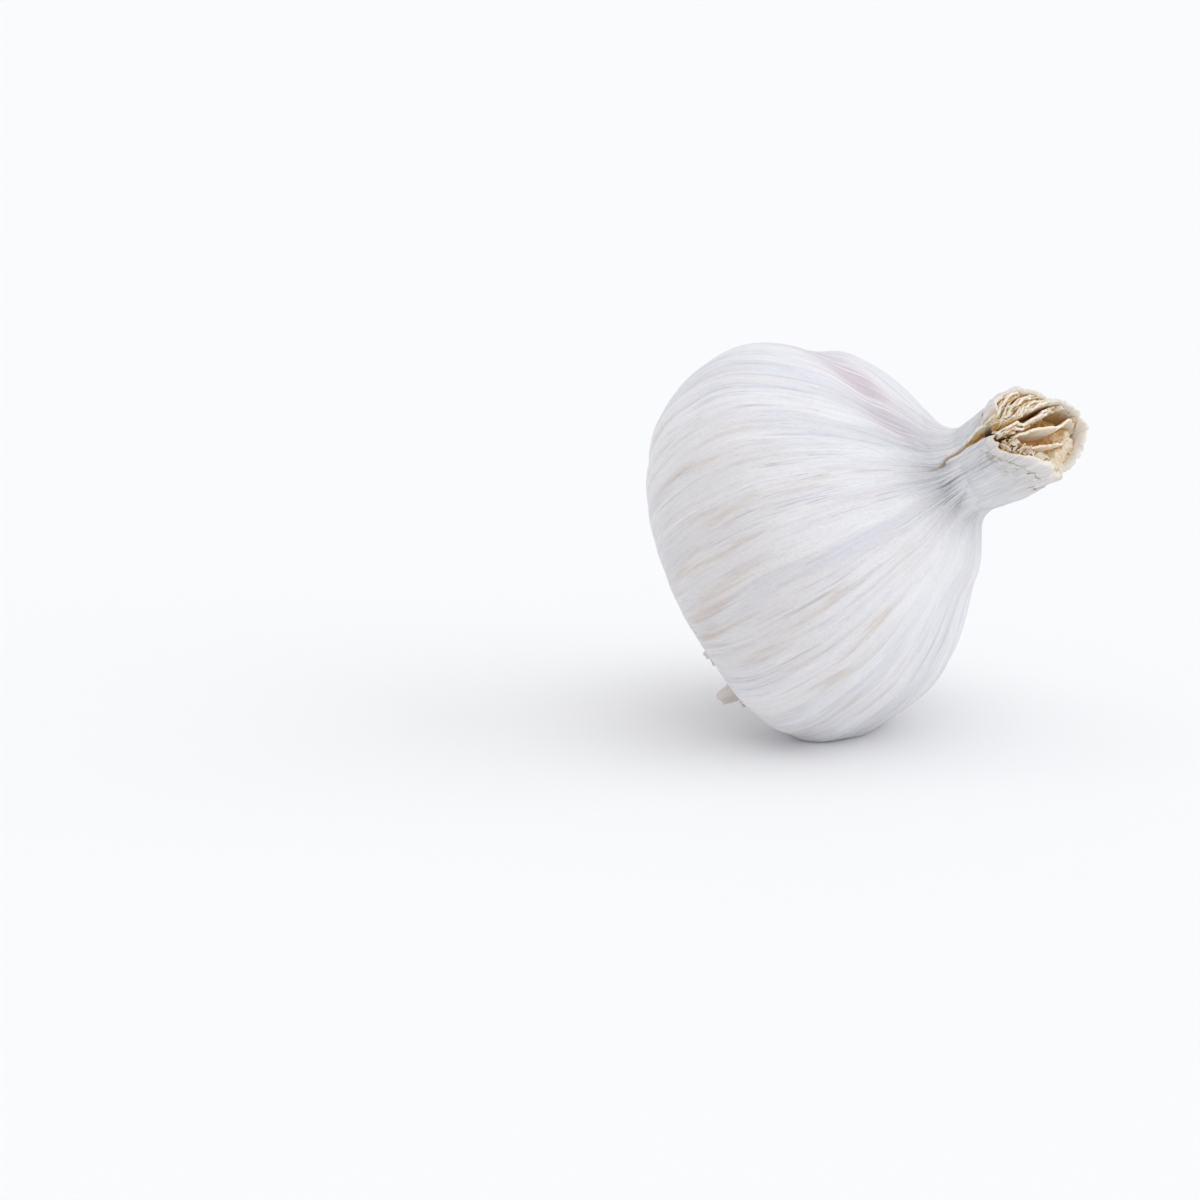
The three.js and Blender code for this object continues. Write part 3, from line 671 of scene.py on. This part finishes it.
sheaths = []
for number, (title, (points, foot)) in enumerate(INNER_SHEATHS.items()):
    # Leaves that lie together are waved together.
    together = {"stacked": 70, "tongue": 90, "spoon": 110}.get(title.split("_")[0], number)

    def sheath_middle(u, v, points=np.array(points, float), foot=foot, seed=number, family=together):
        x, y, top = through(points, u).T
        ragged = 0.35 * torn(u, 8, family + 2) + 0.25 * torn(u, 12, 3 * seed)
        ragged = ragged + 0.2 * torn(u, 40, 3 * seed + 1)
        height = foot + v * (top + ragged * v - foot)
        crumple = 0.28 * torn(u + 0.06 * v, 8, family) + 0.05 * torn(u - 0.05 * v, 24, seed + 40)
        curl = (0.4 * torn(u, 5, family + 1) + 0.16 * torn(u, 6, seed + 60)) * v**4
        spread = 0.72 + 0.28 * v
        x, y = spread * x + (crumple + curl) * v, spread * y + 0.8 * (crumple - curl) * v
        # Each stays inside the skin of the neck all round.
        widest = np.interp(np.degrees(np.arctan2(y, x)) % 360, NECK_RIM[:, 0], NECK_RIM[:, 1])
        drawn_in = np.minimum(1, (widest - SHEATH_CLEARANCE) / np.hypot(x, y))
        dx, dy = neck_drift(height)
        return x * drawn_in + dx, y * drawn_in + dy, height
    sheaths.append(curled_sheet(f"sheath_{title}", 72, 24, SHEATH_THICKNESS, sheath_middle))

# Crumbs of leaf that broke off against the near side when the neck was cut: small bent flakes.
CRUMBS = 70
CRUMB_THICKNESS = 0.16
CRUMBS_FROM, CRUMBS_TO = 232, 318  # the arc that they lie on
CRUMBS_HEIGHT, CRUMBS_RISE = 53.6, 0.045  # at the start of the arc, and for each degree along it
draw = np.random.default_rng(5)
for number in range(CRUMBS):
    crumb_angle = math.radians(draw.uniform(CRUMBS_FROM, CRUMBS_TO))
    crumb_out = draw.uniform(4.6, 6.9)
    crumb_at = np.array([crumb_out * math.cos(crumb_angle), crumb_out * math.sin(crumb_angle)])
    crumb_up = CRUMBS_HEIGHT + CRUMBS_RISE * (math.degrees(crumb_angle) - CRUMBS_FROM)
    crumb_up = crumb_up + draw.uniform(-0.9, 0.6)
    crumb_size = draw.uniform(0.4, 1.3)
    crumb_turn = draw.uniform(0, math.pi)
    crumb_tilt = draw.uniform(-0.9, 0.9)
    crumb_bend = draw.uniform(-0.5, 0.5)

    def crumb_middle(u, v, at=crumb_at, up=crumb_up, size=crumb_size, turn=crumb_turn, tilt=crumb_tilt,
                     bend=crumb_bend, seed=number):
        along = (u - 0.5) * size * (1 + 0.5 * torn(v, 4, seed))
        rise = (v - 0.5) * size * 1.2 * (1 + 0.4 * torn(u, 4, seed + 200))
        off = bend * size * (2 * u - 1) ** 2 + tilt * rise
        height = up + rise
        dx, dy = neck_drift(height)
        x = at[0] + along * math.cos(turn) - off * math.sin(turn)
        y = at[1] + along * math.sin(turn) + off * math.cos(turn)
        return x + dx, y + dy, height
    sheaths.append(curled_sheet(f"crumb_{number}", 7, 7, CRUMB_THICKNESS, crumb_middle))
inner_sheaths = join_pieces("inner_sheaths", sheaths)

# Dried leaf: cream, matte, with fibres along it; the yellow to tan deeper down is painted shade, partly the
# leaf's own gold.
dry_leaf, tree, shader = new_finish("dried_leaf_sheath")
sky_seen = add_node(tree, "ShaderNodeAttribute", {"attribute_name": "open"}, {})["Fac"]
strand_grain = strand_pattern(tree, 26, 2)
uneven_tone = add_node(tree, "ShaderNodeTexNoise", {}, {
    "Vector": add_node(tree, "ShaderNodeTexCoord", {}, {})["Object"], "Scale": 1 / (1.8 * MM), "Detail": 4.0,
})[0]
colour = tint(tree, [(strand_grain, 0.4, 0.65)], 0.8, srgb(LEAF_PALE), srgb(LEAF_GREY))
# Painted shade: gold, brown and near black where the leaf sees little sky, made uneven by noise.
colour = leaf_with_painted_shade(tree, sky_seen, uneven_tone, colour)
tree.links.new(colour, shader.inputs["Base Color"])
shader.inputs["Roughness"].default_value = 0.75
shader.inputs["Subsurface Weight"].default_value = 0.2
shader.inputs["Subsurface Scale"].default_value = MM
raised = add_node(tree, "ShaderNodeBump", {}, {
    "Strength": 0.7, "Distance": 0.15 * MM, "Height": strand_grain,
})[0]
tree.links.new(raised, shader.inputs["Normal"])
inner_sheaths.data.materials.append(dry_leaf)
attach(inner_sheaths, "root")
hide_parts("neck_sheaths")

# Pith. The middle of the flower stalk, dried to a pale crumbly sponge that fills the neck between the
# sheaths. A ball is stretched into a plug, then pitted and swollen by two displacements.
PITH_RADIUS, PITH_TOP, PITH_FOOT = 5.4, 54.8, 48.8
PITH_WIDER = 1.15  # how many times wider it is towards the underside and the far side of the neck
PITH_SLOPE = 0.55  # how much higher it stands for each millimetre towards the far side of the neck
PITH_UNDERSIDE = 2.4  # how much higher it stands on the underside of the neck
PITH_PALE, PITH_YELLOW = "EFE5D3", "DDC69C"
bpy.ops.object.select_all(action="DESELECT")
bpy.ops.mesh.primitive_ico_sphere_add(subdivisions=7, radius=1)
pith = bpy.context.object
pith.name = "neck_pith"
ball = points_of(pith)
pith_x = ball[:, 0] * PITH_RADIUS * np.where(ball[:, 0] > 0, PITH_WIDER, 1)
pith_y = ball[:, 1] * PITH_RADIUS * np.where(ball[:, 1] > 0, PITH_WIDER, 1)
swollen = PITH_UNDERSIDE * smooth(pith_x + 0.35 * pith_y, 1.0, 4.5)
pith_top = PITH_TOP + PITH_SLOPE * np.maximum(pith_y, -3) + swollen
pith_height = PITH_FOOT + (ball[:, 2] * 3 + 1).clip(0, 2) / 2 * (pith_top - PITH_FOOT)
dx, dy = neck_drift(pith_height)
pith.data.vertices.foreach_set("co", laid(pith_x + dx, pith_y + dy, pith_height).ravel())
pith.data.update()
for kind, size, depth in (("CLOUDS", 1.3, 0.9), ("VORONOI", 0.45, 0.3)):
    pattern = bpy.data.textures.new(f"pith_{kind.lower()}", kind)
    pattern.noise_scale = size * MM
    swell = pith.modifiers.new(kind, "DISPLACE")
    swell.texture = pattern
    swell.texture_coords = "LOCAL"
    swell.strength = depth * MM
    bpy.ops.object.modifier_apply(modifier=swell.name)
bpy.ops.object.shade_smooth()

# Dried stalk: a matte sponge of broken cells, cream with yellower pits.
sponge, tree, shader = new_finish("dried_stalk_pith")
place = add_node(tree, "ShaderNodeTexCoord", {}, {})["Object"]
cells = add_node(tree, "ShaderNodeTexNoise", {}, {"Vector": place, "Scale": 1 / (0.8 * MM), "Detail": 5.0})[0]
sky_seen = add_node(tree, "ShaderNodeAttribute", {"attribute_name": "open"}, {})["Fac"]
colour = tint(tree, [(cells, 0.45, 0.7)], 0.7, srgb(PITH_PALE), srgb(PITH_YELLOW))
# Painted shade: the pith turns gold, brown and near black where it sees little sky.
colour = leaf_with_painted_shade(tree, sky_seen, cells, colour)
tree.links.new(colour, shader.inputs["Base Color"])
shader.inputs["Roughness"].default_value = 0.85
pith.data.materials.append(sponge)
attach(pith, "root")

# How much of the sky each point in the cut neck sees, from which the finishes above paint shade into the
# neck's crevices. It is the share of directions round the neck's axis that get out past the skin, the sheaths
# and the pith.
SKY_DIRECTIONS = 18
SKY_REACH = 7.0
SKY_START = 0.04
GRAZING = 0.05
HIDDEN_POINT = 0.3
NECK_FROM = 47.0
GOLDEN_ANGLE = math.radians(137.508)
axis = np.array([math.cos(AXIS_RISE), 0, math.sin(AXIS_RISE)])
sideways = np.array([math.sin(AXIS_RISE), 0, -math.cos(AXIS_RISE)])
sky = []
for i in range(SKY_DIRECTIONS):
    high = 0.12 + 0.86 * (i + 0.5) / SKY_DIRECTIONS
    flat, turn = math.sqrt(1 - high * high), i * GOLDEN_ANGLE
    level = math.cos(turn) * sideways + math.sin(turn) * np.array([0, 1, 0])
    sky.append(Vector(high * axis + flat * level))
wall_points, wall_faces, up_the_neck = [], [], {}
for piece in (bulb_skin, inner_sheaths, pith):
    points = points_of(piece)
    up_the_neck[piece.name] = (points / MM - ROOT_END_AT) @ axis > NECK_FROM
    first = len(wall_points)
    wall_points.extend(points.tolist())
    for face in piece.data.polygons:
        if up_the_neck[piece.name][face.vertices[0]]:
            wall_faces.append([first + i for i in face.vertices])
walls = BVHTree.FromPolygons(wall_points, wall_faces)
for piece in (bulb_skin, inner_sheaths, pith):
    sky_share = np.ones(len(piece.data.vertices), np.float32)
    for i in np.flatnonzero(up_the_neck[piece.name]):
        point = piece.data.vertices[i]
        facing = [toward for toward in sky if toward.dot(point.normal) > GRAZING]
        if facing:
            start = point.co + point.normal * (SKY_START * MM)
            free = sum(walls.ray_cast(start, toward, SKY_REACH * MM)[0] is None for toward in facing)
            sky_share[i] = free / len(facing)
        else:
            sky_share[i] = HIDDEN_POINT
    give_mark(piece, "open", sky_share)

# Root plate. The corky disc of stem that every leaf grew from, trimmed nearly flat, with the dry ends of the
# roots standing on it. The disc is one flattened ball, and each root end is a copy of one bent taper.
PLATE_RADIUS = 0.235 * R
PLATE_TOP = 3.4
PLATE_HALF_HEIGHT = 1.2
bpy.ops.object.select_all(action="DESELECT")
bpy.ops.mesh.primitive_uv_sphere_add(segments=120, ring_count=48, radius=1)
plate = bpy.context.object
plate.name = "root_plate_cork"
ball = points_of(plate)
turn = np.arctan2(ball[:, 1], ball[:, 0])
edge_wave = 1 + 0.04 * np.sin(5 * turn) + 0.03 * np.sin(11 * turn + 1)
plate_points = laid(
    ball[:, 0] * PLATE_RADIUS * edge_wave, ball[:, 1] * PLATE_RADIUS * edge_wave,
    PLATE_TOP - PLATE_HALF_HEIGHT + PLATE_HALF_HEIGHT * ball[:, 2],
)
plate.data.vertices.foreach_set("co", plate_points.ravel())
plate.data.update()
pattern = bpy.data.textures.new("cork", "CLOUDS")
pattern.noise_scale = 0.9 * MM
swell = plate.modifiers.new("cork", "DISPLACE")
swell.texture = pattern
swell.strength = 0.6 * MM
bpy.ops.object.modifier_apply(modifier=swell.name)
bpy.ops.object.shade_smooth()

ROOT_ENDS = 90
ROOT_RADIUS, ROOT_SIDES = 0.4, 8
ROOTED_AT = PLATE_TOP - 1.4
draw = np.random.default_rng(11)
root_ends = []
for i in range(ROOT_ENDS):
    bpy.ops.object.select_all(action="DESELECT")
    bpy.ops.mesh.primitive_cone_add(vertices=ROOT_SIDES, radius1=1, radius2=0.7, depth=2)
    root = bpy.context.object
    bpy.ops.object.mode_set(mode="EDIT")
    bpy.ops.mesh.select_all(action="SELECT")
    bpy.ops.mesh.bisect(plane_co=(0, 0, 0), plane_no=(0, 0, 1))
    bpy.ops.object.mode_set(mode="OBJECT")
    shape = points_of(root)
    down = (1 - shape[:, 2]) / 2
    reach = 1.3 + 1.9 * draw.uniform()
    out = PLATE_RADIUS * 0.9 * math.sqrt((i + 0.5) / ROOT_ENDS)
    turn = i * GOLDEN_ANGLE + draw.uniform(-0.2, 0.2)
    thick = ROOT_RADIUS * draw.uniform(0.7, 1.15)
    splay = (0.25 + 0.3 * out / PLATE_RADIUS) * draw.uniform(0.6, 1.3)
    bend = draw.uniform(-0.35, 0.35)
    x = out * math.cos(turn) + thick * shape[:, 0] + (splay * math.cos(turn) + bend * down) * reach * down
    y = out * math.sin(turn) + thick * shape[:, 1] + (splay * math.sin(turn) - bend * down) * reach * down
    root.data.vertices.foreach_set("co", laid(x, y, ROOTED_AT - reach * down).ravel())
    root_ends.append(root)
roots = join_pieces("root_ends", root_ends)
bpy.ops.object.shade_smooth_by_angle(angle=math.radians(50))

# Cork and dried root: dull brown tan, darker between the cells, with no gloss at all.
CORK_TAN, CORK_BROWN = "CBB48E", "8A6B45"
cork, tree, shader = new_finish("corky_root_plate")
place = add_node(tree, "ShaderNodeTexCoord", {}, {})["Object"]
cells = add_node(tree, "ShaderNodeTexNoise", {}, {"Vector": place, "Scale": 1 / (1.1 * MM), "Detail": 6.0})[0]
colour = tint(tree, [cells], 1.0, srgb(CORK_TAN), srgb(CORK_BROWN))
tree.links.new(colour, shader.inputs["Base Color"])
shader.inputs["Roughness"].default_value = 0.9
raised = add_node(tree, "ShaderNodeBump", {}, {"Strength": 0.8, "Distance": 0.2 * MM, "Height": cells})[0]
tree.links.new(raised, shader.inputs["Normal"])
for piece in (plate, roots):
    piece.data.materials.append(cork)
    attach(piece, "root")
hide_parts("root_plate")

# The table and the light of a plain studio: a pale floor that runs out of sight, and large soft lamps.
FLOOR_SIZE = 6.0  # metres
FLOOR_COLOUR, STUDIO_COLOUR, STUDIO_LIGHT = "F4F4F4", "F7F8FB", 0.875
bpy.ops.object.select_all(action="DESELECT")
bpy.ops.mesh.primitive_plane_add(size=FLOOR_SIZE)
floor = bpy.context.object
floor.name = "floor"
floor_finish, tree, shader = new_finish("pale_studio_floor")
shader.inputs["Base Color"].default_value = srgb(FLOOR_COLOUR)
shader.inputs["Roughness"].default_value = 0.9
floor.data.materials.append(floor_finish)

studio = bpy.data.worlds.new("studio")
bpy.context.scene.world = studio
studio.use_nodes = True
studio.node_tree.nodes["Background"].inputs["Color"].default_value = srgb(STUDIO_COLOUR)
studio.node_tree.nodes["Background"].inputs["Strength"].default_value = STUDIO_LIGHT
bpy.context.scene.view_settings.view_transform = "Standard"

# Name, azimuth and elevation seen from the bulb, strength and how wide the lamp looks.
SOFT_LAMPS = [("side", 108, 25, 0.62, 60), ("top", 0, 86, 0.52, 60)]
for title, azimuth, elevation, strength, width in SOFT_LAMPS:
    a, e = math.radians(azimuth), math.radians(elevation)
    toward = Vector((math.sin(a) * math.cos(e), -math.cos(a) * math.cos(e), math.sin(e)))
    bpy.ops.object.light_add(type="SUN", location=toward)
    lamp = bpy.context.object
    lamp.name = f"lamp_{title}"
    lamp.data.angle = math.radians(width)
    lamp.data.energy = strength
    lamp.rotation_euler = (-toward).to_track_quat("-Z", "Y").to_euler()

# The camera. It looks down a little from the side of the raised neck, and frames the bulb as the photograph
# does, by where that has the spot that the bulb rests on.
CAMERA_AZIMUTH, CAMERA_ELEVATION = math.radians(20.1), math.radians(15)
CAMERA_DISTANCE = 0.5128  # metres
CAMERA_LENS, SENSOR_WIDTH = 100, 36
PHOTO_PX_PER_MM = 6.5
PHOTO_MIDDLE_PX = 600
REST_SPOT_PX = (840, 723)
right = np.array([math.cos(CAMERA_AZIMUTH), math.sin(CAMERA_AZIMUTH), 0])
back = np.array([
    math.sin(CAMERA_AZIMUTH) * math.cos(CAMERA_ELEVATION),
    -math.cos(CAMERA_AZIMUTH) * math.cos(CAMERA_ELEVATION),
    math.sin(CAMERA_ELEVATION),
])
up = np.cross(back, right)
frame_middle = -right * (REST_SPOT_PX[0] - PHOTO_MIDDLE_PX) / PHOTO_PX_PER_MM
frame_middle = frame_middle - up * (PHOTO_MIDDLE_PX - REST_SPOT_PX[1]) / PHOTO_PX_PER_MM
camera_data = bpy.data.cameras.new("camera")
camera_data.lens = CAMERA_LENS
camera_data.sensor_width = SENSOR_WIDTH
camera = bpy.data.objects.new("camera", camera_data)
bpy.context.scene.collection.objects.link(camera)
camera.location = frame_middle * MM + back * CAMERA_DISTANCE
camera.rotation_euler = Vector(-back).to_track_quat("-Z", "Y").to_euler()
bpy.context.scene.camera = camera
